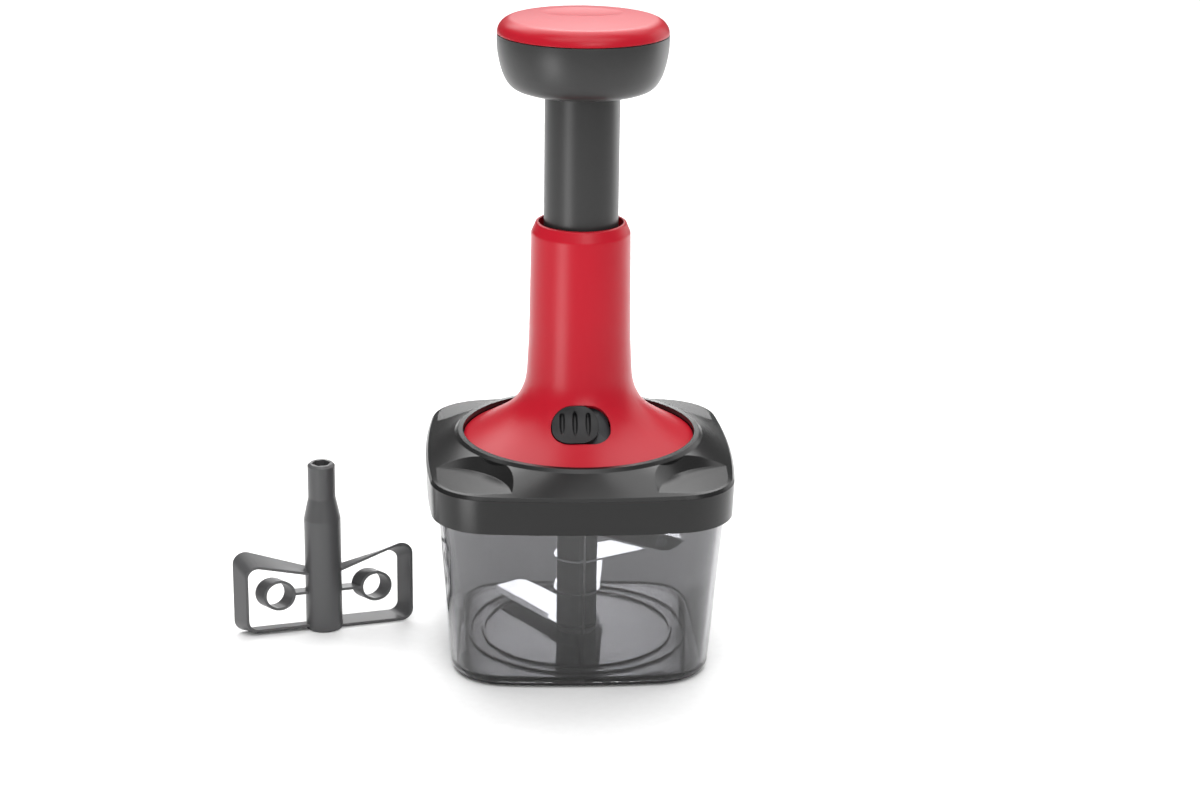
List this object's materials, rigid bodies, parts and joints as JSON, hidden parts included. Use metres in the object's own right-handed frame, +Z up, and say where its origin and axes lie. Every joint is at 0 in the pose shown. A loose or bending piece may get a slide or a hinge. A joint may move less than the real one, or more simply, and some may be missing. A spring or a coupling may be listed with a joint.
{
  "type": "push food chopper",
  "caption": "Hand-pushed food chopper: knob and tube plunge in a red housing on a square lid and spin a stack of blades in a clear bowl; its mixing paddle stands beside it.",
  "frame": {"origin": "on the chopper's axis at the table, in the middle of the bowl's underside", "axes": "+Z up along the plunger's axis; -Y is the front, the side with the lock button; the loose mixing paddle stands on the -X side"},
  "size_m": [0.222, 0.135, 0.2818],
  "materials": {
    "clear_plastic": "polished, smoke tint",
    "black_rubber": "matte",
    "steel": "plain",
    "blade_steel": "polished",
    "grey_plastic": "satin",
    "black_plastic": "satin",
    "red_plastic": "satin gloss",
    "white_silicone": "matte",
    "natural_acetal": "smooth"
  },
  "bodies": {
    "bowl": {"bowl": "clear_plastic", "foot_band": "black_rubber", "pivot_pin": "steel"},
    "lid": {"lid": "grey_plastic", "seal": "white_silicone", "lid_cover": "grey_plastic", "cover_screws": "steel", "housing": "red_plastic", "housing_screws": "steel", "guide_bush": "natural_acetal", "lock_backplate": "grey_plastic", "spring_seat": "steel", "thrust_washer": "steel", "return_spring": "steel"},
    "plunger": {"plunger_tube": "grey_plastic", "spiral_nut": "natural_acetal", "nut_pins": "steel", "knob_shell": "grey_plastic", "knob_cap": "red_plastic", "knob_screw": "steel"},
    "spindle": {"spiral_rod": "natural_acetal", "rod_cap": "natural_acetal", "drive_bit": "grey_plastic", "bit_screw": "steel"},
    "lock": {"lock_slider": "black_plastic", "lock_bolt": "steel", "bolt_screw": "steel"},
    "blades": {"blade_shaft": "grey_plastic", "shaft_bush": "natural_acetal", "hub_spacers": "grey_plastic", "hub_nut": "grey_plastic", "blade_1": "blade_steel", "blade_2": "blade_steel", "blade_3": "blade_steel", "blade_4": "blade_steel"},
    "paddle": {"mixing_paddle": "grey_plastic"}
  },
  "joints": [
    {"name": "lid_lift", "type": "slide", "parent": "bowl", "child": "lid", "axis": [0, 0, 1], "range_m": [0, 0.1]},
    {"name": "plunger_slide", "type": "slide", "parent": "lid", "child": "plunger", "axis": [0, 0, -1], "range_m": [0, 0.05], "stiffness_N_per_m": 300, "springref_m": -0.03, "deforming": ["return_spring"]},
    {"name": "spindle_spin", "type": "hinge", "parent": "lid", "child": "spindle", "pos_m": [0, 0, 0.0829], "axis": [0, 0, 1], "range_deg": [0, 360]},
    {"name": "blade_spin", "type": "hinge", "parent": "bowl", "child": "blades", "pos_m": [0, 0, 0.0034], "axis": [0, 0, 1], "range_deg": [0, 360]},
    {"name": "lock_slide", "type": "slide", "parent": "lid", "child": "lock", "axis": [1, 0, 0], "range_m": [0, 0.005]},
    {"name": "paddle_lift", "type": "slide", "parent": "bowl", "child": "paddle", "axis": [0, 0, 1], "range_m": [0, 0.06]}
  ],
  "couplings": [
    {"joint": "spindle_spin", "follows": "plunger_slide", "rad_per_m": 125.66},
    {"joint": "blade_spin", "follows": "plunger_slide", "rad_per_m": 125.66}
  ]
}
